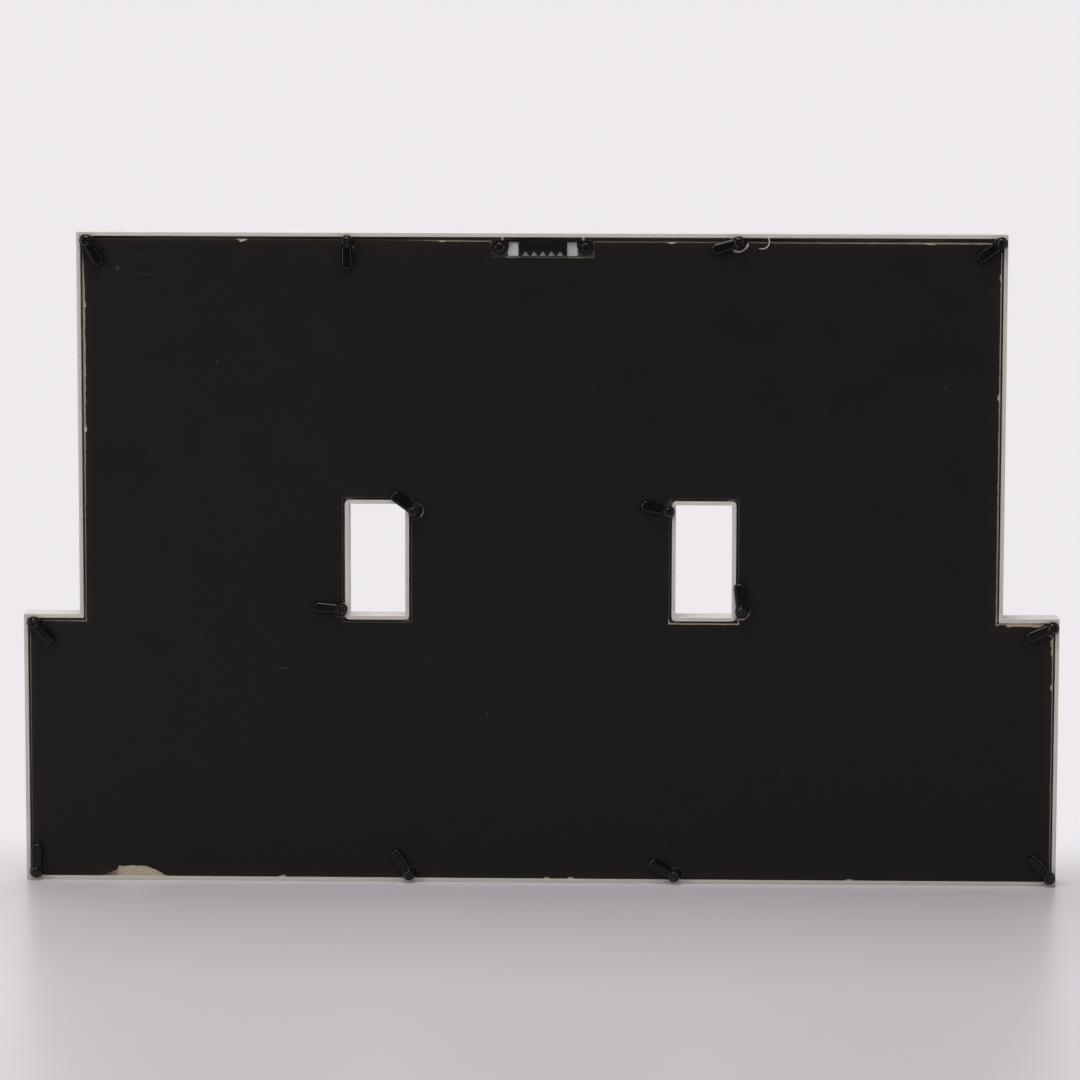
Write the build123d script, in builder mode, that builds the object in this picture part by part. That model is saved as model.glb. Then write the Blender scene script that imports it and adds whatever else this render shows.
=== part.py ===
from build123d import *
import os
from math import cos, radians, sin

# A collage photo frame: six pictures in one moulding, round two openings.
# Z is up, the front faces -Y, and the origin is the middle of the edge that it stands on.
# A place across the moulding is measured inwards from the edge of a tile, which is one picture
# with its border. The tiles lie in a pinwheel, so the short ones leave the openings.

# Pictures and tiles
print_short = 101.6
print_long = 152.4
print_border = 10.0
tile_short = print_short + 2 * print_border
tile_long = print_long + 2 * print_border
tile_step = (tile_long - tile_short) / 2

# Thicknesses, from the front crest to the rim at the back
moulding_depth = 16.0
board_recess = 0.4
board_thickness = 3.0
insert_thickness = 0.3
pane_thickness = 2.0
lip_thickness = 1.8

# Moulding across one side of a tile
wall = 1.7
edge_round = 2.0
crest_flat = 1.4
quirk_depth = 0.8
skin = 2.2
cove_radius = 9.0
lip_width = 2.2
lip_overlap = 1.8
lip_round = 0.8
rib_width = 1.4
pocket_play = 0.5
opening_corner_round = 2.0

# Bosses, and where the turn buttons stand
boss_radius = 2.7
hub_inset = 3.8
opening_hub_inset = 3.0
hub_lean = 0.7
opening_hub_lean = 0.4
top_hub_shift = 1.2
bottom_hub_shift = 0.8
pilot_floor = 1.2

# Backing board
board_top_gap = 1.5
board_side_gap = 0.8
cutout_gap = 1.0
scallop_gap = 1.0

# Screws of the turn buttons
shank_radius = 1.2
thread_clearance = 0.05
running_clearance = 0.06
head_radius = 2.25
head_height = 1.6
head_round = 0.9
recess_length = 2.8
recess_width = 0.6
recess_depth = 0.7
screw_point = 0.8
recess_turn = 37

# Turn buttons
hub_radius = 2.9
hub_height = 2.4
hub_round = 0.4
arm_length = 12.7
arm_thickness = 1.8
arm_root_width = 4.6
arm_tip_width = 5.2
arm_corner_round = 2.0
arm_edge_round = 1.3
seat_clearance = 0.1

# Sawtooth hanger
hanger_hole_spacing = 38.4
hanger_lean = 0.8
hanger_drop = 6.4
hanger_boss_radius = 2.8
pad_top_drop = 3.5
pad_bottom_drop = 10.0
pad_overlap = 0.3
hanger_recess = 1.0
hanger_thickness = 1.0
ear_radius = 3.4
spine_top_drop = 3.1
spine_width = 0.8
hanger_gap_width = 4.3
block_width = 21.8
block_raise = 0.8
block_edge_round = 0.7
block_bottom_drop = 10.0
tooth_pitch = 3.85
tooth_depth = 2.0
tooth_gap_width = 3.1
notch_count = 5
notch_gap = 0.3
notch_margin = 0.4
tie_width = 1.1
tie_shift = 1.1
hanger_head_radius = 2.25
hanger_head_height = 1.4

# Places worked out from the sizes
frame_height = tile_short + tile_long
lower_width = 2 * tile_long + tile_short
upper_width = 2 * tile_short + tile_long
side_centre_x = (tile_short + tile_long) / 2
crest_y = -moulding_depth / 2
rim_y = moulding_depth / 2
board_back_y = rim_y - board_recess
board_front_y = board_back_y - board_thickness
glass_seat_y = board_front_y - insert_thickness - pane_thickness
lip_front_y = glass_seat_y - lip_thickness
boss_root_y = lip_front_y
pilot_end_y = boss_root_y + pilot_floor
rib_inner = print_border - pocket_play
rib_outer = rib_inner - rib_width
lip_inner = print_border + lip_overlap
button_y = rim_y + seat_clearance
hanger_y = rim_y - hanger_recess

# Tiles: name, centre x, centre z, width and height, with -X first as the front is seen
upper_z = tile_short + tile_long / 2
tiles = {
    "upper_left": (-side_centre_x, upper_z, tile_short, tile_long),
    "upper_middle": (0, tile_long + tile_short / 2, tile_long, tile_short),
    "upper_right": (side_centre_x, upper_z, tile_short, tile_long),
    "lower_left": (-side_centre_x, tile_short / 2, tile_long, tile_short),
    "lower_middle": (0, tile_long / 2, tile_short, tile_long),
    "lower_right": (side_centre_x, tile_short / 2, tile_long, tile_short),
}

# Turn buttons: place x and z, and the direction of the arm in degrees from +X towards +Z.
# Each stands a little towards -X of the place that would match on both sides.
top_hub_x = tile_long / 2 + top_hub_shift
bottom_hub_x = tile_short / 2 - bottom_hub_shift
upper_hub_x = upper_width / 2 - hub_inset
lower_hub_x = lower_width / 2 - hub_inset
top_hub_z = frame_height - hub_inset
ledge_hub_z = tile_short - hub_inset
short_hub_x = tile_short / 2 - hub_inset
long_hub_x = tile_long / 2 + hub_inset
over_hub_z = tile_long - opening_hub_inset
under_hub_z = tile_short + opening_hub_inset
buttons = [
    (upper_hub_x - hub_lean, top_hub_z, -121),
    (top_hub_x - hub_lean, top_hub_z, -90),
    (-top_hub_x - hub_lean, top_hub_z, -17),
    (-upper_hub_x - hub_lean, top_hub_z, -36),
    (short_hub_x - opening_hub_lean, over_hub_z, 37),
    (long_hub_x - opening_hub_lean, under_hub_z, 4),
    (-short_hub_x - opening_hub_lean, over_hub_z, 14),
    (-long_hub_x - opening_hub_lean, under_hub_z, 85),
    (lower_hub_x - hub_lean, ledge_hub_z, -131),
    (-lower_hub_x - hub_lean, ledge_hub_z, -24),
    (lower_hub_x - hub_lean, hub_inset, 91),
    (bottom_hub_x - hub_lean, hub_inset, 55),
    (-bottom_hub_x - hub_lean, hub_inset, 28),
    (-lower_hub_x - hub_lean, hub_inset, 49),
]
hub_places = [(x, z) for x, z, angle in buttons]

# Hanger: its middle, its two screws, and heights measured down from the top of the frame
hanger_x = hanger_hole_spacing / 2
hanger_mid_x = -hanger_lean
hanger_z = frame_height - hanger_drop
hanger_places = [(hanger_mid_x - hanger_x, hanger_z), (hanger_mid_x + hanger_x, hanger_z)]
pad_top_z = frame_height - pad_top_drop
pad_bottom_z = frame_height - pad_bottom_drop
spine_top_z = frame_height - spine_top_drop
spine_bottom_z = spine_top_z - spine_width
block_bottom_z = frame_height - block_bottom_drop
notch_bottom_z = block_bottom_z - notch_margin
notch_half_width = hanger_x + ear_radius + notch_gap
ear_inner_x = block_width / 2 + hanger_gap_width


def upright(y):
    """Upright plane at this depth, drawn in x and z. A negative extrusion goes to the back."""
    return Plane.XZ.offset(-y)


def swept_tile(centre_x, centre_z, width, height):
    """Sweeps the moulding's profile round the outline of one tile."""
    low_z = centre_z - height / 2
    high_z = centre_z + height / 2
    left_x = centre_x - width / 2
    right_x = centre_x + width / 2
    crest_end = edge_round + crest_flat
    quirk_y = crest_y + quirk_depth
    lip_start = lip_inner - lip_width
    with BuildLine(Plane.XZ) as route:
        Polyline(
            (centre_x, low_z), (right_x, low_z), (right_x, high_z),
            (left_x, high_z), (left_x, low_z), close=True,
        )
    with BuildSketch(Plane.YZ.offset(centre_x)) as profile:
        with BuildLine():
            Line((board_front_y, low_z), (crest_y + edge_round, low_z))
            RadiusArc((crest_y + edge_round, low_z), (crest_y, low_z + edge_round), edge_round)
            Polyline(
                (crest_y, low_z + edge_round),
                (crest_y, low_z + crest_end),
                (quirk_y, low_z + crest_end),
            )
            RadiusArc((quirk_y, low_z + crest_end), (lip_front_y, low_z + lip_start), -cove_radius)
            Line((lip_front_y, low_z + lip_start), (lip_front_y, low_z + lip_inner - lip_round))
            RadiusArc(
                (lip_front_y, low_z + lip_inner - lip_round),
                (lip_front_y + lip_round, low_z + lip_inner),
                lip_round,
            )
            Polyline(
                (lip_front_y + lip_round, low_z + lip_inner),
                (glass_seat_y, low_z + lip_inner),
                (glass_seat_y, low_z + rib_inner),
                (board_front_y, low_z + rib_inner),
                (board_front_y, low_z + rib_outer),
                (lip_front_y + skin / 2, low_z + rib_outer),
            )
            RadiusArc(
                (lip_front_y + skin / 2, low_z + rib_outer),
                (crest_y + skin, low_z + wall),
                cove_radius + skin,
            )
            Polyline(
                (crest_y + skin, low_z + wall), (board_front_y, low_z + wall), (board_front_y, low_z)
            )
        make_face()
    sweep(sections=profile.sketch, path=route.wire(), transition=Transition.RIGHT)


def tile_rectangles():
    """Adds the outlines of all tiles. They meet edge to edge and leave the openings."""
    for centre_x, centre_z, width, height in tiles.values():
        with Locations((centre_x, centre_z)):
            Rectangle(width, height)


# The space inside the rim, with the corners of the two openings' walls rounded
with BuildSketch(upright(lip_front_y)) as hollow:
    tile_rectangles()
    offset(amount=-wall, kind=Kind.INTERSECTION)
    opening_corners = [corner for wire in faces()[0].inner_wires() for corner in wire.vertices()]
    fillet(opening_corners, opening_corner_round)

# Front frame: six mouldings side by side, the rim behind them, bosses, ties, pad and pilot holes
with BuildPart() as front_frame:
    for centre_x, centre_z, width, height in tiles.values():
        swept_tile(centre_x, centre_z, width, height)
    with BuildSketch(upright(lip_front_y)):
        tile_rectangles()
        add(hollow.sketch, mode=Mode.SUBTRACT)
    extrude(amount=lip_front_y - rim_y)
    with BuildSketch(upright(boss_root_y)):
        with Locations(*hub_places):
            Circle(boss_radius)
    extrude(amount=boss_root_y - rim_y)
    with BuildSketch(upright(boss_root_y)):
        with Locations(*hanger_places):
            Circle(hanger_boss_radius)
        for side in (-1, 1):
            tie_x = hanger_mid_x + side * (hanger_x - tie_shift)
            with Locations((tie_x, hanger_z + hanger_drop / 2)):
                Rectangle(tie_width, hanger_drop)
        with Locations((hanger_mid_x, (pad_top_z + pad_bottom_z) / 2)):
            Rectangle(2 * (ear_inner_x + pad_overlap), pad_top_z - pad_bottom_z)
    extrude(amount=boss_root_y - hanger_y)
    with BuildSketch(upright(rim_y)):
        with Locations(*hub_places, *hanger_places):
            Circle(shank_radius + thread_clearance)
    extrude(amount=rim_y - pilot_end_y, mode=Mode.SUBTRACT)
front_frame.part.label = "front_frame"

# Backing board: it has dropped onto the bottom wall, so its play shows at the top
board_low_z = wall
with BuildPart() as backing_board:
    with BuildSketch(upright(board_front_y)):
        board_edge = wall + board_side_gap
        ledge_z = tile_short - wall - cutout_gap
        with Locations((0, (board_low_z + ledge_z) / 2)):
            Rectangle(lower_width - 2 * board_edge, ledge_z - board_low_z)
        board_top_z = frame_height - wall - board_top_gap
        with Locations((0, (board_low_z + board_top_z) / 2)):
            Rectangle(upper_width - 2 * board_edge, board_top_z - board_low_z)
        cutout_edge = wall + cutout_gap
        opening_x = (tile_short + tile_step) / 2
        with Locations((-opening_x, frame_height / 2), (opening_x, frame_height / 2)):
            Rectangle(tile_step + 2 * cutout_edge, 2 * tile_step + 2 * cutout_edge, mode=Mode.SUBTRACT)
        with Locations(*hub_places):
            Circle(boss_radius + scallop_gap, mode=Mode.SUBTRACT)
        with Locations((hanger_mid_x, (frame_height + notch_bottom_z) / 2)):
            Rectangle(2 * notch_half_width, frame_height - notch_bottom_z, mode=Mode.SUBTRACT)
    extrude(amount=-board_thickness)
backing_board.part.label = "backing_board"

# Panes and inserts: each rests on the bottom of its pocket, the insert behind the glass
panes = []
inserts = []
for tile_name, (centre_x, centre_z, width, height) in tiles.items():
    sheet_width = width - 2 * print_border
    sheet_height = height - 2 * print_border
    sheet_z = centre_z - pocket_play
    with BuildPart() as pane:
        with BuildSketch(upright(glass_seat_y)):
            with Locations((centre_x, sheet_z)):
                Rectangle(sheet_width, sheet_height)
        extrude(amount=-pane_thickness)
    pane.part.label = "pane_" + tile_name
    panes.append(pane)
    with BuildPart() as photo_insert:
        with BuildSketch(upright(glass_seat_y + pane_thickness)):
            with Locations((centre_x, sheet_z)):
                Rectangle(sheet_width, sheet_height)
        extrude(amount=-insert_thickness)
    photo_insert.part.label = "photo_insert_" + tile_name
    inserts.append(photo_insert)


def pan_screw(head_radius, head_height, reach):
    """One pan-head screw along Y, with a cross recess. Its head rests on the origin's plane."""
    with BuildPart() as screw:
        with BuildSketch():
            with BuildLine():
                Polyline(
                    (0, -reach),
                    (shank_radius - screw_point, -reach),
                    (shank_radius, screw_point - reach),
                    (shank_radius, 0),
                    (head_radius, 0),
                    (head_radius, head_height - head_round),
                )
                RadiusArc(
                    (head_radius, head_height - head_round),
                    (head_radius - head_round, head_height),
                    -head_round,
                )
                Polyline((head_radius - head_round, head_height), (0, head_height), (0, -reach))
            make_face()
        revolve(axis=Axis.Y)
        with BuildSketch(upright(head_height)):
            Rectangle(recess_length, recess_width)
            Rectangle(recess_width, recess_length)
        extrude(amount=recess_depth, mode=Mode.SUBTRACT)
    return screw


# Screws of the turn buttons: each head stands clear of its hub, and each recess is turned
button_head_y = button_y + hub_height + seat_clearance
button_screw = pan_screw(head_radius, head_height, button_head_y - pilot_end_y)
with BuildPart() as turn_button_screws:
    for number, (x, z) in enumerate(hub_places):
        with Locations(Location((x, button_head_y, z), (0, number * recess_turn, 0))):
            add(button_screw.part)
turn_button_screws.part.label = "turn_button_screws"

# Screws of the hanger: their heads clamp its ears
hanger_back_y = hanger_y + hanger_thickness
hanger_screw = pan_screw(hanger_head_radius, hanger_head_height, hanger_back_y - pilot_end_y)
with BuildPart() as hanger_screws:
    for number, (x, z) in enumerate(hanger_places):
        with Locations(Location((x, hanger_back_y, z), (0, number * recess_turn, 0))):
            add(hanger_screw.part)
hanger_screws.part.label = "hanger_screws"

# Hanger: a spine with two round ears, and a toothed block that stands a little proud
with BuildPart() as sawtooth_hanger:
    spine_z = (spine_top_z + spine_bottom_z) / 2
    neck_width = hanger_x - ear_inner_x
    neck_height = spine_top_z - hanger_z
    with BuildSketch(upright(hanger_y)):
        with Locations((hanger_mid_x, spine_z)):
            Rectangle(hanger_hole_spacing, spine_width)
        for side in (-1, 1):
            neck_x = hanger_mid_x + side * (ear_inner_x + neck_width / 2)
            with Locations((neck_x, hanger_z + neck_height / 2)):
                Rectangle(neck_width, neck_height)
        with Locations(*hanger_places):
            Circle(ear_radius)
            Circle(shank_radius + running_clearance, mode=Mode.SUBTRACT)
    extrude(amount=-hanger_thickness)
    with BuildSketch(upright(hanger_y)):
        with Locations((hanger_mid_x, spine_z)):
            Rectangle(block_width, spine_width)
    extrude(amount=-hanger_thickness - block_raise)
    with BuildSketch(upright(hanger_y + block_raise)):
        with Locations((hanger_mid_x, (spine_bottom_z + block_bottom_z) / 2)):
            Rectangle(block_width, spine_bottom_z - block_bottom_z)
        for number in range(notch_count):
            x = hanger_mid_x + (number - (notch_count - 1) / 2) * tooth_pitch
            with BuildLine():
                Polyline(
                    (x - tooth_gap_width / 2, block_bottom_z),
                    (x, block_bottom_z + tooth_depth),
                    (x + tooth_gap_width / 2, block_bottom_z),
                    close=True,
                )
            make_face(mode=Mode.SUBTRACT)
    extrude(amount=-hanger_thickness)
    fillet(edges().filter_by(Axis.Z).group_by(Axis.Y)[-1], block_edge_round)
sawtooth_hanger.part.label = "sawtooth_hanger"

# Turn buttons: a round hub on the boss, with a flat arm that reaches over the board
turn_buttons = []
for number, (x, z, angle) in enumerate(buttons, 1):
    along = (cos(radians(angle)), 0, sin(radians(angle)))
    arm_plane = Plane(origin=(x, button_y, z), x_dir=along, z_dir=(0, -1, 0))
    with BuildPart() as turn_button:
        with BuildSketch(arm_plane):
            with BuildLine():
                Polyline(
                    (0, arm_root_width / 2),
                    (arm_length, arm_tip_width / 2),
                    (arm_length, -arm_tip_width / 2),
                    (0, -arm_root_width / 2),
                    close=True,
                )
            make_face()
            fillet(vertices().group_by(Axis.X)[-1], arm_corner_round)
        extrude(amount=-arm_thickness)
        fillet(faces().sort_by(Axis.Y)[-1].edges(), arm_edge_round)
        with BuildSketch(arm_plane):
            Circle(hub_radius)
        extrude(amount=-hub_height)
        fillet(faces().sort_by(Axis.Y)[-1].edges(), hub_round)
        with BuildSketch(arm_plane):
            Circle(shank_radius + running_clearance)
        extrude(amount=-hub_height, mode=Mode.SUBTRACT)
    turn_button.part.label = f"turn_button_{number}"
    turn_buttons.append(turn_button)

# One file for each piece
os.makedirs("parts", exist_ok=True)
pieces = [front_frame, backing_board, *panes, *inserts, sawtooth_hanger, hanger_screws]
pieces += [*turn_buttons, turn_button_screws]
for piece in pieces:
    export_step(piece.part, f"parts/{piece.part.label}.step")
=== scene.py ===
import math

import bmesh
import bpy
from bpy.props import FloatProperty, FloatVectorProperty, PointerProperty
from mathutils import Matrix, Vector, noise


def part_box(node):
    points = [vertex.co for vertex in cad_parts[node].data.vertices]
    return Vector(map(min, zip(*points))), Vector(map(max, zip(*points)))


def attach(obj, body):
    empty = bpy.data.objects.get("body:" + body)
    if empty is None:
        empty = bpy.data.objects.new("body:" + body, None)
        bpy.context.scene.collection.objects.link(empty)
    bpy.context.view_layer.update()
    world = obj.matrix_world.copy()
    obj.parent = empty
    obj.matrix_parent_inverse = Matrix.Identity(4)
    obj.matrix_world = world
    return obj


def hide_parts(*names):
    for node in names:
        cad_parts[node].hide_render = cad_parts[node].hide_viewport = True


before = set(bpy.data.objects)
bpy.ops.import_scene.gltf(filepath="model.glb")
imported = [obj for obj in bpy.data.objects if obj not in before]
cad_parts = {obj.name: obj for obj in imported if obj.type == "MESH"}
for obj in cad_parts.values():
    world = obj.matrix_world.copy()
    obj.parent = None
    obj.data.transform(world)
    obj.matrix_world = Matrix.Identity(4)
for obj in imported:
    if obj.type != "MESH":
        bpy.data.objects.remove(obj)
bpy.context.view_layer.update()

bl_info = {
    "name": "Collage Picture Frame",
    "version": (1, 0, 0),
    "blender": (4, 5, 0),
    "location": "View3D > Sidebar > Picture Frame",
    "description": "Dresses a collage frame: moulding, worn backing board, turn buttons and hanger",
    "category": "Add Mesh",
}

MM = 0.001
# Points nearer than this are one point, and a face whose normal's Y is past this looks back
WELD = 0.00001
LOOKS_BACK = 0.9
# Faces that meet at less than the first angle are one face, and edges past the second are sharp
FLAT_ANGLE = math.radians(0.5)
SHARP_ANGLE = math.radians(32)

BOARD = "backing_board"
BUTTON_COUNT = 14
TILES = ("upper_left", "upper_middle", "upper_right", "lower_left", "lower_middle", "lower_right")

# The board's lower and upper areas: half width, bottom and top, in millimetres
BOARD_AREAS = ((230.7, 1.7, 118.9), (205.3, 1.7, 290.8))
# Worn edges of the board: a box in x and z round each edge, in millimetres, and along its
# longer side the place, the width of bare fibre and how clean the fibre is, from 0 to 1
WORN_EDGES = (
    ((203, 209, 121, 284), ((128, 0.5, 0.3), (180, 0.7, 0.45), (230, 1.2, 0.65),
                            (270, 1.1, 0.6), (280, 0.7, 0.4), (284, 0.3, 0.2))),
    ((-209, -203, 118, 286), ((118, 0.7, 0.6), (200, 0.65, 0.7), (270, 0.6, 0.75),
                              (285, 0.5, 0.6))),
    ((-209, 209, 289, 294), ((-200, 0.5, 0.5), (-140, 0.4, 0.45), (-100, 0.3, 0.25), (0, 0.3, 0.2),
                             (20, 0.3, 0.2), (24, 0.4, 0.45), (44, 0.4, 0.5), (60, 0.2, 0.1),
                             (200, 0.2, 0.1))),
    ((200, 234, 117, 121), ((205, 0.6, 0.3), (222, 0.5, 0.25), (228, 0.4, 0.2), (232, 0.3, 0.15))),
    ((-234, -200, 117, 121), ((-231, 0.9, 0.8), (-227, 1.5, 1.0), (-206, 1.6, 1.0),
                              (-204, 1.2, 0.9))),
    ((229, 234, 0, 118), ((4, 0.3, 0.1), (60, 0.5, 0.15), (112, 0.6, 0.25))),
    ((-234, -229, 0, 118), ((4, 0.4, 0.45), (60, 0.5, 0.5), (88, 0.5, 0.55), (112, 0.6, 0.8))),
    ((-234, 234, 0, 3), ((-230, 0.2, 0.15), (168, 0.2, 0.15), (171, 0.7, 0.8), (175, 3.0, 1.0),
                         (178.4, 4.6, 1.0), (191, 4.7, 1.0), (192.5, 2.4, 0.5), (196, 1.3, 0.2),
                         (199, 0.4, 0.15), (203, 0.2, 0.15), (230, 0.2, 0.15))),
    ((-25, 24, 282, 284), ((-23.5, 0.4, 0.1), (-22, 0.5, 0.3), (15, 0.5, 0.35), (16, 0.3, 0.1))),
    ((-26, 25, 284, 290.4), ((0, 0.2, 0.1), (1, 0.2, 0.1))),
    ((-93, -56, 117, 121.2), ((-90, 0.5, 0.75), (-60, 0.5, 0.75))),
)
# Width and cleanness of the fibre on the other edges
WORN_ELSEWHERE = (0.25, 0.15)
# Edges of the board that lie higher or lower than drawn: a box, and the place and rise along it
SHIFTED_EDGES = (
    ((-209, 209, 289, 294), ((-205, -0.6), (-100, -0.55), (0, -0.35), (100, 0.25), (205, 0.45))),
    ((-228, -205.4, 117, 121), ((-227.5, 0.1), (-225, 0.6), (-222, 0.85), (-206, 0.85))),
)
# Small nicks: x, z, how far each reaches along the edge, its width and how clean it is
NICKS = (
    (133.5, 290.8, 1.6, 1.3, 1.0), (-58.2, 290.8, 1.2, 0.9, 0.9), (-204.7, 274.7, 1.6, 1.2, 0.9),
    (-204.7, 221.2, 1.6, 1.3, 0.95), (204.7, 261.3, 1.4, 1.7, 0.7), (204.7, 205.2, 1.2, 1.6, 1.0),
    (116.8, 1.7, 1.3, 0.9, 0.9), (-3.0, 1.7, 1.2, 0.8, 0.9), (-13.9, 1.7, 1.2, 0.9, 0.9),
    (-140.1, 1.7, 1.4, 0.7, 0.8), (-230.7, 90.6, 1.4, 1.1, 1.0), (-230.7, 110.5, 2.2, 1.4, 1.0),
    (-230.7, 106.5, 2.0, 1.1, 1.0), (44.5, 290.8, 1.0, 0.7, 0.8), (-173.5, 290.8, 2.4, 0.8, 0.8),
)
# How far a nick fades out past its reach
NICK_FADE = 0.6
# Scallops whose bare edge catches the light: centre x and z, width, how clean, and between which
# directions, in degrees from +X towards +Z
BARE_SCALLOPS = (
    (-88.1, 290.2, 0.8, 1.0, -185, -40), (86.7, 290.2, 0.5, 0.8, -140, -100),
    (-90.4, 124.6, 0.4, 0.45, -170, -110), (56.8, 169.4, 0.4, 0.6, -200, -130),
)
# Points of the outline nearer than this to its centre belong to a scallop
SCALLOP_REACH = 4.2
# The worn edge has rows of points from the outline inwards. For each: the share of the worn width
# at which it lies, what the paper's lip adds to that, and the share of the depth it is sunk by
PAPER_LIP = 0.25
WORN_ROWS = ((0.45, 0, 0.62), (0.9, 0, 0.3), (1, 0, 0.02), (1, PAPER_LIP, 0))
# Distance between the rows before they are moved, the least width of the wear, the width past
# which it wanders no further, and how far a row may lean out at a corner
ROW_STEP = 0.12
LEAST_WORN = 0.12
MOST_RAGGED = 1.2
CORNER_REACH = 1.5
# Depth of the outline's row: with no wear, added for each millimetre of wear, and at most
SHALLOWEST, DEEPER, DEEPEST = 0.12, 0.35, 0.75
# Where points would cross, the wear is narrowed to this share, in so many rounds at most, until
# they keep this share of their distance
NARROWED, SETTLE_ROUNDS, KEPT_APART = 0.85, 40, 0.15
# Faint scratches on the paper: x, z, direction in degrees, half length and half width, strength
SCRATCHES = (
    (179.8, 283.7, 20, 1.6, 0.14, 0.5), (177.4, 275.2, 3, 3.2, 0.20, 0.35),
    (182.2, 252.4, -40, 2.6, 0.16, 0.3), (116.4, 97.7, 5, 3.4, 0.22, 0.5),
    (24.0, 77.3, 70, 1.6, 0.20, 0.45), (-180.7, 225.6, 62, 2.4, 0.18, 0.5),
    (156.7, 31.5, -30, 1.8, 0.16, 0.35), (144.9, 236.1, 0, 0.45, 0.40, 1.0),
    (189.4, 277.9, 30, 1.4, 1.2, 0.25),
)
# How far the paper is rubbed from its edges, how high above the floor the plastic grows darker, and
# the printed pictures' margin and length of a wave, in millimetres
RUBBED_REACH = (2.5, 8)
DARKENED_FOOT_HEIGHT = 4
PRINT_MARGIN = 7
WAVE_LENGTH = 70

# The curl of swarf, in millimetres: its centre's x and z, its height over the moulding's middle and
# how much lower its tail lies. Its tail is thinner, and it is flat from front to back
CURL_CENTRE = (-98.5, 290.6)
CURL_HEIGHT, CURL_DROP = 8.05, 0.40
CURL_TAPER, CURL_FLATNESS = 0.45, 0.16
CURL_START, CURL_TURN = math.radians(108), math.radians(188)

# The sweep, in metres: half its width, how far under the frame its floor lies, how far it reaches
# towards the camera and away from it, the radius of its bend and the height of its wall
SWEEP_HALF_WIDTH = 4
SWEEP_DROP = 0.0001
SWEEP_NEAR, SWEEP_FAR = 0.9, -1.8
SWEEP_BEND = 0.6
SWEEP_WALL = 3
# Between these places the floor's finish gives way to the backdrop's colour
BACKDROP_FROM, BACKDROP_TO = 0.03, -0.12

# Camera: place and target in millimetres, and roll
CAMERA_PLACE = (-51.0, 2013.8, 400.7)
CAMERA_TARGET = (0.17, 8.0, 156.41)
CAMERA_ROLL = math.radians(0.118)
SENSOR_WIDTH = 36


def tint(name, description, red, green, blue):
    """A colour setting, given as the screen shows it, from 0 to 255."""
    return FloatVectorProperty(
        name=name, description=description, subtype="COLOR", size=3, min=0, max=1,
        default=screen_colour(red, green, blue),
    )


def length(name, description, millimetres):
    """A length setting in metres, with its default given in millimetres."""
    return FloatProperty(
        name=name, description=description, default=millimetres * MM, min=0,
        unit="LENGTH", precision=5,
    )


def share(name, description, default):
    """A setting from 0 to 1."""
    return FloatProperty(
        name=name, description=description, default=default, min=0, max=1, subtype="FACTOR"
    )


def power(name, description, watts):
    """A lamp's power setting, in watts."""
    return FloatProperty(name=name, description=description, default=watts, min=0, unit="POWER")


def screen_colour(red, green, blue):
    """Turns a colour as the screen shows it into the linear one that shaders read."""
    shown = (channel / 255 for channel in (red, green, blue))
    return tuple(c / 12.92 if c <= 0.04045 else ((c + 0.055) / 1.055) ** 2.4 for c in shown)


class MouldingSettings(bpy.types.PropertyGroup):
    """White plastic moulding and the curl of swarf on it."""

    colour: tint("Plastic", "Colour of the white plastic", 216, 210, 203)
    stain: tint("Stain", "Colour of the plastic where it is soiled", 190, 180, 168)
    roughness: share("Roughness", "Roughness of the plastic", 0.42)
    edge: length("Edge", "Rounding of the moulding's sharp edges", 0.16)
    curl_radius: length("Curl Radius", "Radius of the curl of swarf", 3.2)
    curl_thickness: length("Curl Thickness", "Thickness of the curl of swarf", 0.55)


class BoardSettings(bpy.types.PropertyGroup):
    """Backing board: black paper over hardboard."""

    paper: tint("Paper", "Colour of the black paper", 24, 21, 22)
    rubbed: tint("Rubbed Paper", "Colour of the paper near its worn edges", 38, 29, 26)
    dust: tint("Dust", "Colour of dust and scratches", 120, 114, 112)
    fibre: tint("Fibre", "Colour of clean bare fibre", 214, 198, 178)
    old_fibre: tint("Old Fibre", "Colour of soiled bare fibre", 58, 48, 44)
    front: tint("Front", "Colour of the hardboard's hidden front", 104, 76, 54)
    step: length("Step", "Distance between points along the worn edge", 1.2)
    ragged: share("Ragged", "How much the edge of the paper wanders", 0.35)


class HardwareSettings(bpy.types.PropertyGroup):
    """Turn buttons, screws and hanger."""

    plastic: tint("Button Plastic", "Colour of the turn buttons", 8, 8, 9)
    gloss: share("Button Roughness", "Roughness of the turn buttons", 0.12)
    steel: tint("Screw Finish", "Colour of the blackened screws", 34, 32, 32)
    bare_steel: tint("Bare Steel", "Colour of the steel where a driver has worn it", 150, 146, 142)
    enamel: tint("Hanger Enamel", "Colour of the hanger", 9, 9, 11)
    edge: length("Edge", "Rounding of the hanger's sharp edges", 0.25)


class PictureSettings(bpy.types.PropertyGroup):
    """Glass panes and the paper inserts behind them."""

    paper: tint("Paper", "Colour of the inserts' paper", 226, 222, 214)
    sky: tint("Sky", "Lightest band of the printed pattern", 196, 204, 208)
    far: tint("Far Band", "Middle band of the printed pattern", 150, 161, 163)
    near: tint("Near Band", "Darkest band of the printed pattern", 98, 108, 108)


class StageSettings(bpy.types.PropertyGroup):
    """Floor, backdrop, lamps and camera."""

    backdrop: tint("Backdrop", "Colour of the backdrop", 238, 234, 237)
    floor: tint("Floor", "Colour of the floor", 216, 211, 215)
    lens: FloatProperty(
        name="Lens", description="Focal length in millimetres", default=150, min=1, unit="CAMERA"
    )
    key: power("Key", "Power of the lamp over the frame", 20)
    fill: power("Fill", "Power of the lamp at the left", 11)
    side: power("Side", "Power of the lamp at the right", 4.5)
    air: share("Air", "Strength of the light all round", 0.15)


# Materials


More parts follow.
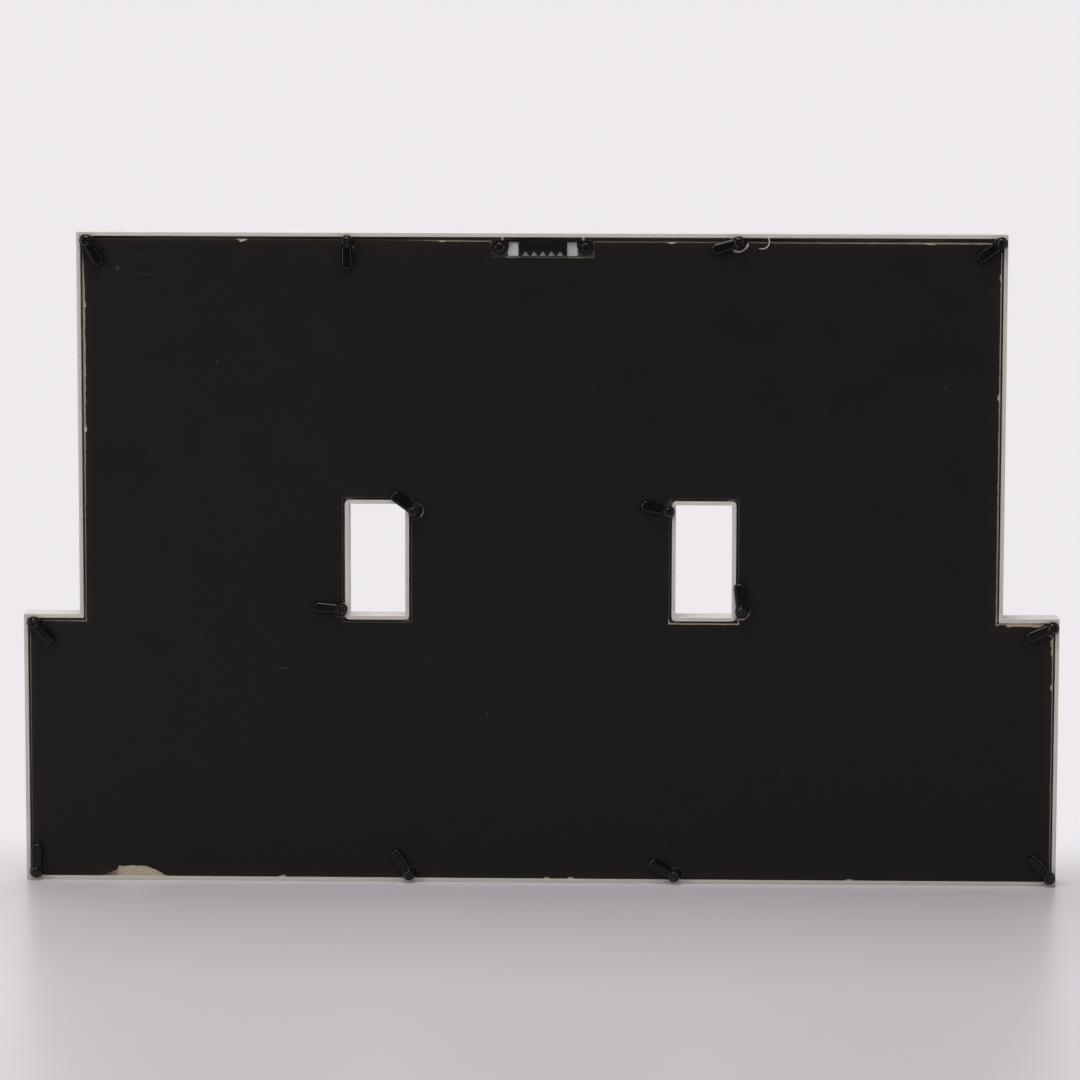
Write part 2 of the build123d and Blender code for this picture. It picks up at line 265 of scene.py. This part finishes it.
class Paint:
    """One node material round a Principled shader, built up from object coordinates."""

    def __init__(self, name, **values):
        self.material = bpy.data.materials.new(name)
        self.material.use_nodes = True
        self.tree = self.material.node_tree
        self.tree.nodes.clear()
        self.shader = self.node("ShaderNodeBsdfPrincipled")
        self.output = self.node("ShaderNodeOutputMaterial")
        self.link(self.shader.outputs["BSDF"], self.output.inputs["Surface"])
        self.place = self.node("ShaderNodeTexCoord").outputs["Object"]
        for socket, value in values.items():
            self.set(self.shader, socket.replace("_", " ").title().replace("Ior", "IOR"), value)

    def node(self, kind, **settings):
        made = self.tree.nodes.new(kind)
        for name, value in settings.items():
            setattr(made, name, value)
        return made

    def link(self, output, socket):
        self.tree.links.new(output, socket)

    def set(self, node, socket, value):
        """Gives a socket a plain value, a colour or another node's output."""
        target = node.inputs[socket]
        if isinstance(value, bpy.types.NodeSocket):
            self.link(value, target)
        elif target.type == "RGBA":
            target.default_value = (*value[:3], 1)
        else:
            target.default_value = value

    def moved(self, **settings):
        """Object coordinates through a Mapping node, taken as the pattern's own place."""
        mapping = self.node("ShaderNodeMapping", vector_type="TEXTURE")
        self.link(self.place, mapping.inputs["Vector"])
        for name, value in settings.items():
            mapping.inputs[name.title()].default_value = value
        return mapping.outputs["Vector"]

    def noise(self, scale, detail=2, place=None, roughness=0.5):
        made = self.node("ShaderNodeTexNoise")
        self.link(place or self.place, made.inputs["Vector"])
        for socket, value in (("Scale", scale), ("Detail", detail), ("Roughness", roughness)):
            made.inputs[socket].default_value = value
        return made.outputs["Fac"]

    def span(self, value, low, high, to_low=0, to_high=1):
        """Maps a value from one range to another and holds it at both ends."""
        made = self.node("ShaderNodeMapRange", interpolation_type="SMOOTHSTEP")
        for number, given in enumerate((value, low, high, to_low, to_high)):
            self.set(made, number, given)
        return made.outputs["Result"]

    def sum(self, kind, first, second):
        made = self.node("ShaderNodeMath", operation=kind)
        self.set(made, 0, first)
        self.set(made, 1, second)
        return made.outputs["Value"]

    def mix(self, factor, first, second):
        """Mixes two colours. The sockets are given by number, because several share a name."""
        made = self.node("ShaderNodeMix", data_type="RGBA")
        self.set(made, 0, factor)
        self.set(made, 6, first)
        self.set(made, 7, second)
        return made.outputs[2]

    def bump(self, height, distance, strength=1, below=None):
        made = self.node("ShaderNodeBump")
        self.set(made, "Height", height)
        self.set(made, "Distance", distance)
        self.set(made, "Strength", strength)
        if below:
            self.link(below, made.inputs["Normal"])
        return made.outputs["Normal"]

    def specks(self, scale, size, share_kept):
        """Scattered round specks: 1 inside a speck, 0 outside."""
        cells = self.node("ShaderNodeTexVoronoi")
        self.link(self.place, cells.inputs["Vector"])
        cells.inputs["Scale"].default_value = scale
        near = self.span(cells.outputs["Distance"], size, size * 0.6)
        colour = self.node("ShaderNodeSeparateColor")
        self.link(cells.outputs["Color"], colour.inputs["Color"])
        kept = self.sum("LESS_THAN", colour.outputs["Red"], share_kept)
        return self.sum("MULTIPLY", near, kept)

    def inside(self, half_width, low, high):
        """How far inside an upright rectangle a place lies. Its sides are in millimetres."""
        axes = self.node("ShaderNodeSeparateXYZ")
        self.link(self.place, axes.inputs[0])
        side = self.sum("SUBTRACT", half_width * MM, self.sum("ABSOLUTE", axes.outputs["X"], 0))
        foot = self.sum("SUBTRACT", axes.outputs["Z"], low * MM)
        head = self.sum("SUBTRACT", high * MM, axes.outputs["Z"])
        return self.sum("MINIMUM", side, self.sum("MINIMUM", foot, head))

    def mark(self, x, z, direction, half_length, half_width, strength):
        """One thin mark on an upright face, given in millimetres and degrees."""
        place = self.moved(
            location=(x * MM, 0, z * MM), rotation=(0, -math.radians(direction), 0),
            scale=(half_length * MM, 1, half_width * MM),
        )
        size = self.node("ShaderNodeVectorMath", operation="LENGTH")
        self.link(place, size.inputs[0])
        return self.span(size.outputs["Value"], 1, 0.3, 0, strength)

    def blend(self, factor, other):
        """Mixes another shader over the Principled one."""
        mixed = self.node("ShaderNodeMixShader")
        self.link(factor, mixed.inputs[0])
        self.link(self.shader.outputs["BSDF"], mixed.inputs[1])
        self.link(other, mixed.inputs[2])
        self.link(mixed.outputs["Shader"], self.output.inputs["Surface"])

    def finish(self, colour, roughness, normal=None):
        self.set(self.shader, "Base Color", colour)
        self.set(self.shader, "Roughness", roughness)
        if normal:
            self.link(normal, self.shader.inputs["Normal"])
        return self.material


def white_plastic(settings):
    """Satin white plastic, a little soiled, with the faint grain of a moulding."""
    paint = Paint("white_plastic", specular_ior_level=0.45)
    soiled = paint.span(paint.noise(14, 6, roughness=0.65), 0.52, 0.78, 0, 0.55)
    flecks = paint.sum("MULTIPLY", paint.specks(160, 0.10, 0.10), 0.6)
    height = paint.node("ShaderNodeSeparateXYZ")
    paint.link(paint.place, height.inputs[0])
    # The plastic grows darker towards the bottom, over the last few millimetres above the floor
    foot = paint.span(height.outputs["Z"], DARKENED_FOOT_HEIGHT * MM, 0, 0, 0.35)
    stain_and_darker_foot = paint.sum("MAXIMUM", paint.sum("MAXIMUM", soiled, flecks), foot)
    colour = paint.mix(stain_and_darker_foot, settings.colour, settings.stain)
    smooth, dull = settings.roughness - 0.06, settings.roughness + 0.1
    rough = paint.span(paint.noise(130, 3), 0.3, 0.7, smooth, dull)
    waves = paint.bump(paint.noise(45, 2), 0.0004, 0.25)
    grain = paint.bump(paint.noise(2600, 2), 0.00004, 0.5, waves)
    return paint.finish(colour, rough, grain)


def black_paper(settings):
    """Black paper laid on hardboard: rubbed brown near its edges, dusty and lightly scratched."""
    paint = Paint("black_paper", specular_ior_level=0.2)
    inside = paint.sum("MAXIMUM", *(paint.inside(*area) for area in BOARD_AREAS))
    reach = paint.span(paint.noise(28, 3), 0.3, 0.7, *(far * MM for far in RUBBED_REACH))
    edge = paint.span(inside, reach, 0)
    colour = paint.mix(paint.sum("MULTIPLY", edge, 0.9), settings.paper, settings.rubbed)
    mottle = paint.span(paint.noise(500, 3), 0.35, 0.75, 0, 0.012)
    dust = paint.sum("MAXIMUM", mottle, paint.sum("MULTIPLY", paint.specks(95, 0.028, 0.3), 0.3))
    for scratch in SCRATCHES:
        dust = paint.sum("MAXIMUM", dust, paint.mark(*scratch))
    colour = paint.mix(dust, colour, settings.dust)
    rough = paint.span(paint.noise(60, 5), 0.3, 0.7, 0.5, 0.64)
    flat = paint.bump(paint.noise(30, 2), 0.0003, 0.15)
    return paint.finish(colour, rough, paint.bump(paint.noise(1800, 3), 0.00003, 0.5, flat))


def bare_fibre(settings):
    """Torn hardboard fibre, as clean as the mesh's bare_share says."""
    paint = Paint("bare_fibre", specular_ior_level=0.2)
    clean = paint.node("ShaderNodeAttribute", attribute_name="bare_share").outputs["Fac"]
    colour = paint.mix(clean, settings.old_fibre, settings.fibre)
    streaks = paint.noise(1, 4, paint.moved(scale=(1.2 * MM, 1.2 * MM, 0.35 * MM)), 0.7)
    colour = paint.mix(paint.span(streaks, 0.42, 0.72, 0, 0.6), colour, settings.old_fibre)
    return paint.finish(colour, 0.85, paint.bump(streaks, 0.00025, 0.8))


def hardboard(settings):
    """Smooth brown hardboard, on the side that faces the pictures."""
    paint = Paint("hardboard_front", specular_ior_level=0.3)
    fibres = paint.noise(600, 6, roughness=0.7)
    colour = paint.mix(paint.span(fibres, 0.4, 0.7, 0, 0.5), settings.front, settings.old_fibre)
    rough = paint.span(fibres, 0.3, 0.7, 0.45, 0.6)
    return paint.finish(colour, rough, paint.bump(fibres, 0.00005, 0.5))


def button_plastic(settings):
    """Semi-gloss black plastic with faint flow marks, fine scuffs and a little dust."""
    paint = Paint("button_plastic", specular_ior_level=0.3)
    dust = paint.sum("MULTIPLY", paint.specks(420, 0.11, 0.12), 0.02)
    flow = paint.noise(1, 3, paint.moved(scale=(0.4 * MM, 2 * MM, 2.5 * MM)))
    scuffs = paint.span(flow, 0.6, 0.85, 0, 0.01)
    grey = (0.3, 0.3, 0.3)
    colour = paint.mix(paint.sum("MAXIMUM", dust, scuffs), settings.plastic, grey)
    smooth, dull = settings.gloss - 0.04, settings.gloss + 0.08
    rough = paint.span(paint.noise(900, 3), 0.3, 0.7, smooth, dull)
    return paint.finish(colour, rough, paint.bump(paint.noise(1500, 2), 0.00001, 0.3))


def black_screw(settings):
    """Blackened steel with scattered bright spots of bare steel, partly wear and partly painted
    glints.
    """
    paint = Paint("black_screw", metallic=0.75)
    # Scattered spots of bright bare steel: partly real wear, partly painted glints that stand in
    # for highlights
    worn = paint.span(paint.noise(1500, 4, roughness=0.7), 0.54, 0.66, 0, 0.85)
    colour = paint.mix(worn, settings.steel, settings.bare_steel)
    grain = paint.bump(paint.noise(2500, 2), 0.00002, 0.4)
    return paint.finish(colour, paint.span(worn, 0, 1, 0.22, 0.34), grain)


def hanger_enamel(settings):
    """Black enamel on thin steel, with rubbed spots."""
    paint = Paint("hanger_enamel", specular_ior_level=0.3)
    rub = paint.span(paint.noise(420, 4, roughness=0.7), 0.66, 0.8, 0, 0.12)
    colour = paint.mix(rub, settings.enamel, settings.bare_steel)
    rough = paint.span(paint.noise(300, 3), 0.3, 0.7, 0.32, 0.46)
    return paint.finish(colour, rough, paint.bump(paint.noise(700, 3), 0.00004, 0.5))


def clear_glass():
    """Thin picture glass. Light goes straight through it to the picture behind."""
    paint = Paint("clear_glass", transmission_weight=1.0, ior=1.5)
    smudge = paint.span(paint.noise(25, 5), 0.55, 0.8, 0.0, 0.06)
    paint.finish((0.97, 0.99, 0.98), smudge)
    path = paint.node("ShaderNodeLightPath")
    lit = paint.sum("MAXIMUM", path.outputs["Is Shadow Ray"], path.outputs["Is Diffuse Ray"])
    paint.blend(lit, paint.node("ShaderNodeBsdfTransparent").outputs["BSDF"])
    return paint.material


def printed_insert(name, settings):
    """Plain paper with a soft printed pattern of rolling bands, and a pale margin."""
    low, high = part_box(name)
    centre, half = (low + high) / 2, (high - low) / 2
    paint = Paint(name + "_print", specular_ior_level=0.35)
    local = paint.moved(location=centre, scale=(half.x, 1, half.z))
    parts = paint.node("ShaderNodeSeparateXYZ")
    paint.link(local, parts.inputs[0])
    rolling = paint.moved(location=(centre.x * 2.3, 0, 0), scale=(WAVE_LENGTH * MM, 1, 1))
    colour = settings.sky
    for number, (height, band) in enumerate(((0.05, settings.far), (-0.45, settings.near))):
        trough, top = height - 0.35, height + 0.35
        crest = paint.span(paint.noise(1 + number, 1, rolling), 0.3, 0.7, trough, top)
        under = paint.sum("LESS_THAN", parts.outputs["Z"], crest)
        colour = paint.mix(under, colour, band)
    sides = [paint.sum("ABSOLUTE", parts.outputs[axis], 0) for axis in "XZ"]
    inner = [1 - PRINT_MARGIN * MM / size for size in (half.x, half.z)]
    margins = [paint.sum("GREATER_THAN", *side) for side in zip(sides, inner)]
    colour = paint.mix(paint.sum("MAXIMUM", *margins), colour, settings.paper)
    fibres = paint.noise(1500, 3)
    rough = paint.span(fibres, 0.3, 0.7, 0.4, 0.55)
    return paint.finish(colour, rough, paint.bump(fibres, 0.00002, 0.4))


# Shapes


def picked(geometry, kind):
    """The vertices or edges in an operator's result."""
    return [item for item in geometry if isinstance(item, kind)]


def welded(node):
    """Copies a CAD node's mesh with its loose triangles joined and its flat faces whole."""
    bm = bmesh.new()
    bm.from_mesh(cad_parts[node].data)
    bmesh.ops.remove_doubles(bm, verts=bm.verts, dist=WELD)
    bmesh.ops.dissolve_limit(bm, angle_limit=FLAT_ANGLE, verts=bm.verts, edges=bm.edges)
    bm.normal_update()
    return bm


def ease_edges(bm, width):
    """Rounds every sharp edge a little, so that it catches the light."""
    sharp = [e for e in bm.edges if e.is_manifold and e.calc_face_angle(0) > SHARP_ANGLE]
    bmesh.ops.bevel(
        bm, geom=sharp, offset=width, offset_type="OFFSET", segments=2, profile=0.5,
        affect="EDGES", clamp_overlap=True, material=-1,
    )


def make_piece(bm, name, body, nodes, materials):
    """Turns a bmesh into a smooth-shaded piece that rides on its body, for these CAD nodes."""
    mesh = bpy.data.meshes.new(name)
    bm.to_mesh(mesh)
    bm.free()
    stored = mesh.attributes.get("custom_normal")
    if stored:
        mesh.attributes.remove(stored)
    for material in materials:
        mesh.materials.append(material)
    mesh.shade_smooth()
    mesh.set_sharp_from_angle(angle=SHARP_ANGLE)
    piece = bpy.data.objects.new(name, mesh)
    bpy.context.scene.collection.objects.link(piece)
    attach(piece, body)
    if nodes:
        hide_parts(*nodes)
    return piece


def paint_node(node, material):
    """Gives a CAD node that keeps its shape a better material."""
    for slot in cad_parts[node].material_slots:
        slot.material = material


def between(profile, place):
    """Reads a profile's values at a place along an edge."""
    if place <= profile[0][0]:
        return profile[0][1:]
    for (start, *low), (end, *high) in zip(profile, profile[1:]):
        if place <= end:
            t = (place - start) / (end - start)
            return tuple(a + (b - a) * t for a, b in zip(low, high))
    return profile[-1][1:]


def along_edges(table, x, z):
    """Reads the profile of the first edge in the table whose box holds this place."""
    for (x_low, x_high, z_low, z_high), profile in table:
        if x_low <= x <= x_high and z_low <= z <= z_high:
            return between(profile, x if x_high - x_low > z_high - z_low else z)
    return None


def wear_at(x, z):
    """Width of bare fibre and its cleanness at a place on the board's outline, in millimetres."""
    width, clean = along_edges(WORN_EDGES, x, z) or WORN_ELSEWHERE
    for centre_x, centre_z, scallop_width, scallop_clean, first, last in BARE_SCALLOPS:
        direction = math.degrees(math.atan2(z - centre_z, x - centre_x))
        turned = (direction - first) % 360
        if math.hypot(x - centre_x, z - centre_z) < SCALLOP_REACH and turned < last - first:
            width, clean = scallop_width, scallop_clean
    for nick_x, nick_z, reach, nick_width, nick_clean in NICKS:
        near = 1 - math.hypot(x - nick_x, z - nick_z) / (reach + NICK_FADE)
        if near > 0 and nick_width * min(1, near * 2) > width:
            width, clean = nick_width * min(1, near * 2), nick_clean
    return width, clean


def outline_chains(bm, faces, rows, thickness):
    """Insets a region row by row. Each chain runs from the outline in to the region's edge."""
    for _ in range(rows):
        bmesh.ops.inset_region(
            bm, faces=faces, thickness=thickness, use_boundary=True, use_even_offset=True
        )
    seen = {v for face in faces for v in face.verts}
    inside = set(faces)
    chains = [[v] for v in seen if not inside.issuperset(v.link_faces)]
    for _ in range(rows):
        for chain in chains:
            others = [edge.other_vert(chain[0]) for edge in chain[0].link_edges]
            chain.insert(0, next(v for v in others if v not in seen))
        seen.update(chain[0] for chain in chains)
    return chains


def settle(wear):
    """Narrows the worn edge where its points would cross, as they do round a sharp corner."""
    links = [(vertex, edge.other_vert(vertex)) for vertex in wear for edge in vertex.link_edges]
    links = [(near, far) for near, far in links if far in wear]
    for _ in range(SETTLE_ROUNDS):
        for near, far in links:
            start, inward, width = wear[near][:3]
            end, turned, reach = wear[far][:3]
            along = end - start
            moved = turned * (reach + PAPER_LIP) * MM - inward * (width + PAPER_LIP) * MM
            if (along + moved).dot(along) < KEPT_APART * along.length_squared:
                wear[near][2] *= NARROWED
                wear[far][2] *= NARROWED


def ragged_width(settings, width, x, z):
    """Lets the width of the worn edge wander along the board's outline."""
    slow = noise.noise(Vector((x * 0.35, z * 0.35, 3)))
    quick = noise.noise(Vector((x * 1.3, z * 1.3, 8)))
    wander = slow + 0.5 * quick
    width += settings.ragged * wander * min(width, MOST_RAGGED)
    return max(LEAST_WORN, width)


def worn_board(settings):
    """The backing board with its paper worn back and its edges torn to bare fibre."""
    bm = welded(BOARD)
    bare = bm.verts.layers.float.new("bare_share")
    back_y = max(v.co.y for v in bm.verts)
    front_y = min(v.co.y for v in bm.verts)
    rims = [e for e in bm.edges if all(abs(v.co.y - back_y) < WELD for v in e.verts)
            and len({f.normal.y > LOOKS_BACK for f in e.link_faces}) == 2]
    for edge in rims:
        cuts = int(edge.calc_length() / settings.step)
        if cuts:
            bmesh.ops.subdivide_edges(bm, edges=[edge], cuts=cuts)
    back = [f for f in bm.faces if f.normal.y > LOOKS_BACK]
    chains = outline_chains(bm, back, len(WORN_ROWS), ROW_STEP * MM)
    covered = {v for face in back for v in face.verts}
    bmesh.ops.triangulate(bm, faces=back)
    wear = {}
    for outer, *chain in chains:
        start = outer.co.copy()
        inward = (chain[0].co - start) / (ROW_STEP * MM)
        inward *= min(1, CORNER_REACH / max(inward.length, 0.1))
        x, z = start.x / MM, start.z / MM
        width, clean = wear_at(x, z)
        (rise,) = along_edges(SHIFTED_EDGES, x, z) or (0,)
        start.z += rise * MM
        wear[outer] = [start, inward, ragged_width(settings, width, x, z), clean]
    settle(wear)
    for outer, *chain in chains:
        start, inward, width, clean = wear[outer]
        x, z = start.x / MM, start.z / MM
        depth = min(DEEPEST, SHALLOWEST + DEEPER * width)
        outer.co.z = start.z
        outer.co.y = back_y - depth * MM
        outer[bare] = clean
        for number, (vertex, (across, lip, down)) in enumerate(zip(chain, WORN_ROWS)):
            chip = noise.noise(Vector((x * 0.9, z * 0.9, number * 5))) if number < 2 else 0
            vertex.co = start + inward * ((width * across + lip) * MM)
            vertex.co.y = back_y - depth * MM * max(0, down + 0.25 * chip)
            vertex[bare] = clean * (1 + 0.35 * chip)
        covered.update(chain[2:])
    paper, fibre, hardboard_front = range(3)
    for face in bm.faces:
        if all(v.co.y < front_y + WELD for v in face.verts):
            face.material_index = hardboard_front
        else:
            face.material_index = paper if covered.issuperset(face.verts) else fibre
    return bm


def swarf_curl(settings):
    """A thin flat curl of white swarf that lies over the top rim and the board, under the arms."""
    centre = Vector((CURL_CENTRE[0], 0, CURL_CENTRE[1])) * MM
    radius, half = settings.curl_radius, settings.curl_thickness / 2
    bm = bmesh.new()
    ring = bmesh.ops.create_circle(bm, segments=8, radius=half)["verts"]
    bmesh.ops.translate(bm, verts=ring, vec=(radius, 0, 0))
    bmesh.ops.rotate(bm, verts=ring, cent=(0, 0, 0), matrix=Matrix.Rotation(-CURL_START, 3, "Y"))
    bmesh.ops.spin(
        bm, geom=list(bm.edges), cent=(0, 0, 0), axis=(0, 1, 0), dvec=(0, 0, 0),
        angle=-CURL_TURN, steps=30, use_merge=False,
    )
    bmesh.ops.holes_fill(bm, edges=bm.edges, sides=0)
    for vertex in bm.verts:
        angle = math.atan2(vertex.co.z, vertex.co.x) % math.tau
        along = (angle - CURL_START) / CURL_TURN
        middle = Vector((math.cos(angle), 0, math.sin(angle))) * radius
        down = min(1, max(0, (along - 0.25) / 0.4))
        height = CURL_HEIGHT - CURL_DROP * down * down * (3 - 2 * down)
        across = (vertex.co - middle) * (1 - CURL_TAPER * along)
        across.y *= CURL_FLATNESS
        vertex.co = centre + middle + across + Vector((0, height * MM, 0))
    bmesh.ops.recalc_face_normals(bm, faces=bm.faces)
    return bm


# One operator for each piece or group of like pieces


class DressMoulding(bpy.types.Operator):
    """Round the moulding's edges, give it satin white plastic and lay the curl of swarf on it"""

    bl_idname = "picture_frame.moulding"
    bl_label = "White Moulding"

    def execute(self, context):
        settings = context.scene.moulding
        plastic = white_plastic(settings)
        bm = welded("front_frame")
        ease_edges(bm, settings.edge)
        make_piece(bm, "moulding", "frame", ["front_frame"], [plastic])
        make_piece(swarf_curl(settings), "swarf_curl", "frame", [], [plastic])
        return {"FINISHED"}


class DressBoard(bpy.types.Operator):
    """Wear back the paper of the backing board and tear its edges to bare fibre"""

    bl_idname = "picture_frame.board"
    bl_label = "Backing Board"

    def execute(self, context):
        settings = context.scene.board
        finishes = [black_paper(settings), bare_fibre(settings), hardboard(settings)]
        make_piece(worn_board(settings), "worn_board", "frame", [BOARD], finishes)
        return {"FINISHED"}


class DressTurnButtons(bpy.types.Operator):
    """Give the turn buttons semi-gloss black plastic"""

    bl_idname = "picture_frame.turn_buttons"
    bl_label = "Turn Buttons"

    def execute(self, context):
        plastic = button_plastic(context.scene.hardware)
        for number in range(1, BUTTON_COUNT + 1):
            paint_node(f"turn_button_{number}", plastic)
        return {"FINISHED"}


class DressScrews(bpy.types.Operator):
    """Give the screws blackened steel with scattered bright spots, partly wear and partly painted
    glints
    """

    bl_idname = "picture_frame.screws"
    bl_label = "Screws"

    def execute(self, context):
        steel = black_screw(context.scene.hardware)
        for node in ("turn_button_screws", "hanger_screws"):
            paint_node(node, steel)
        return {"FINISHED"}


class DressHanger(bpy.types.Operator):
    """Ease the sawtooth hanger's edges and give it black enamel"""

    bl_idname = "picture_frame.hanger"
    bl_label = "Sawtooth Hanger"

    def execute(self, context):
        settings = context.scene.hardware
        bm = welded("sawtooth_hanger")
        ease_edges(bm, settings.edge)
        enamel = hanger_enamel(settings)
        make_piece(bm, "toothed_hanger", "frame", ["sawtooth_hanger"], [enamel])
        return {"FINISHED"}


class DressPictures(bpy.types.Operator):
    """Give the panes clear glass and the inserts a plain printed pattern"""

    bl_idname = "picture_frame.pictures"
    bl_label = "Panes and Inserts"

    def execute(self, context):
        settings = context.scene.pictures
        glass = clear_glass()
        for tile in TILES:
            paint_node("pane_" + tile, glass)
            insert = "photo_insert_" + tile
            paint_node(insert, printed_insert(insert, settings))
        return {"FINISHED"}


class BuildStage(bpy.types.Operator):
    """Lay the pale floor and backdrop, and set the lamps and the camera"""

    bl_idname = "picture_frame.stage"
    bl_label = "Floor, Lamps and Camera"

    def execute(self, context):
        settings = context.scene.stage
        self.lay_sweep(settings)
        self.hang_lamps(settings)
        self.set_camera(settings)
        return {"FINISHED"}

    def lay_sweep(self, settings):
        """A floor that curves up into the backdrop."""
        vertices, edges = bmesh.types.BMVert, bmesh.types.BMEdge
        bm = bmesh.new()
        sides = (SWEEP_HALF_WIDTH, -SWEEP_HALF_WIDTH)
        near = bm.edges.new([bm.verts.new((x, SWEEP_NEAR, -SWEEP_DROP)) for x in sides])
        floor = bmesh.ops.extrude_edge_only(bm, edges=[near])["geom"]
        away = (0, SWEEP_FAR - SWEEP_NEAR, 0)
        bmesh.ops.translate(bm, verts=picked(floor, vertices), vec=away)
        bend = bmesh.ops.spin(
            bm, geom=picked(floor, edges), cent=(0, SWEEP_FAR, SWEEP_BEND), axis=(1, 0, 0),
            dvec=(0, 0, 0), angle=-math.pi / 2, steps=24, use_merge=False,
        )["geom_last"]
        wall = bmesh.ops.extrude_edge_only(bm, edges=picked(bend, edges))["geom"]
        bmesh.ops.translate(bm, verts=picked(wall, vertices), vec=(0, 0, SWEEP_WALL))
        mesh = bpy.data.meshes.new("sweep")
        bm.to_mesh(mesh)
        bm.free()
        mesh.shade_smooth()
        mesh.materials.append(self.sweep_finish(settings))
        sweep = bpy.data.objects.new("sweep", mesh)
        bpy.context.scene.collection.objects.link(sweep)

    def sweep_finish(self, settings):
        """Satin floor that fades into a backdrop with a fixed pale colour."""
        paint = Paint("sweep", specular_ior_level=0.5)
        paint.finish(settings.floor, 0.32)
        place = paint.node("ShaderNodeSeparateXYZ")
        paint.link(paint.place, place.inputs[0])
        behind = paint.span(place.outputs["Y"], BACKDROP_FROM, BACKDROP_TO)
        path = paint.node("ShaderNodeLightPath")
        seen = paint.sum("MAXIMUM", path.outputs["Is Camera Ray"], path.outputs["Is Glossy Ray"])
        seen = paint.sum("MAXIMUM", seen, path.outputs["Is Transmission Ray"])
        glow = paint.node("ShaderNodeEmission")
        paint.set(glow, "Color", settings.backdrop)
        paint.blend(paint.sum("MULTIPLY", behind, seen), glow.outputs["Emission"])
        return paint.material

    def hang_lamps(self, settings):
        """A wide lamp over the frame and a tall one at each side, with places in metres."""
        lamps = (
            ("lamp_over", settings.key, (1.8, 0.8), (0.1, 0.05, 1.45), (0, 0.05, 0.0)),
            ("lamp_left", settings.fill, (0.16, 1.4), (1.65, 0.9, 0.75), (0, 0, 0.1)),
            ("lamp_right", settings.side, (0.16, 1.4), (-1.65, 0.9, 0.75), (0, 0, 0.1)),
        )
        for name, power, (width, height), place, target in lamps:
            light = bpy.data.lights.new(name, "AREA")
            light.energy = power
            light.shape = "RECTANGLE"
            light.size, light.size_y = width, height
            lamp = bpy.data.objects.new(name, light)
            lamp.matrix_world = looking(Vector(place), Vector(target), 0)
            bpy.context.scene.collection.objects.link(lamp)
        world = bpy.data.worlds.new("air")
        world.use_nodes = True
        background = world.node_tree.nodes["Background"]
        background.inputs["Color"].default_value = (*settings.backdrop, 1)
        background.inputs["Strength"].default_value = settings.air
        bpy.context.scene.world = world

    def set_camera(self, settings):
        """The photograph's viewpoint: behind the frame, a little to one side and above."""
        data = bpy.data.cameras.new("camera")
        data.lens = settings.lens
        data.sensor_width = SENSOR_WIDTH
        camera = bpy.data.objects.new("camera", data)
        place, target = Vector(CAMERA_PLACE) * MM, Vector(CAMERA_TARGET) * MM
        camera.matrix_world = looking(place, target, CAMERA_ROLL)
        bpy.context.scene.collection.objects.link(camera)
        bpy.context.scene.camera = camera
        bpy.context.scene.view_settings.view_transform = "Standard"


def looking(location, target, roll):
    """Place and turn of a camera or lamp at location that looks at target."""
    forward = (target - location).normalized()
    right = forward.cross(Vector((0, 0, 1))).normalized()
    up = right.cross(forward)
    across = right * math.cos(roll) + up * math.sin(roll)
    over = up * math.cos(roll) - right * math.sin(roll)
    turn = Matrix((across, over, -forward)).transposed().to_4x4()
    return Matrix.Translation(location) @ turn


class PictureFramePanel(bpy.types.Panel):
    """Lists the frame's pieces and their settings"""

    bl_idname = "VIEW3D_PT_picture_frame"
    bl_label = "Picture Frame"
    bl_space_type = "VIEW_3D"
    bl_region_type = "UI"
    bl_category = "Picture Frame"

    def draw(self, context):
        for operator, group in STEPS:
            box = self.layout.box()
            box.operator(operator.bl_idname)
            settings = getattr(context.scene, group)
            for name in settings.__annotations__:
                box.prop(settings, name)


STEPS = (
    (DressMoulding, "moulding"),
    (DressBoard, "board"),
    (DressTurnButtons, "hardware"),
    (DressScrews, "hardware"),
    (DressHanger, "hardware"),
    (DressPictures, "pictures"),
    (BuildStage, "stage"),
)
SETTINGS = {
    "moulding": MouldingSettings,
    "board": BoardSettings,
    "hardware": HardwareSettings,
    "pictures": PictureSettings,
    "stage": StageSettings,
}
CLASSES = (*SETTINGS.values(), *(operator for operator, group in STEPS), PictureFramePanel)


def register():
    for item in CLASSES:
        bpy.utils.register_class(item)
    for name, group in SETTINGS.items():
        setattr(bpy.types.Scene, name, PointerProperty(type=group))


def unregister():
    for name in SETTINGS:
        delattr(bpy.types.Scene, name)
    for item in reversed(CLASSES):
        bpy.utils.unregister_class(item)


def main():
    register()
    bpy.ops.picture_frame.moulding()
    bpy.ops.picture_frame.board()
    bpy.ops.picture_frame.turn_buttons()
    bpy.ops.picture_frame.screws()
    bpy.ops.picture_frame.hanger()
    bpy.ops.picture_frame.pictures()
    bpy.ops.picture_frame.stage()


if __name__ == "__main__":
    main()
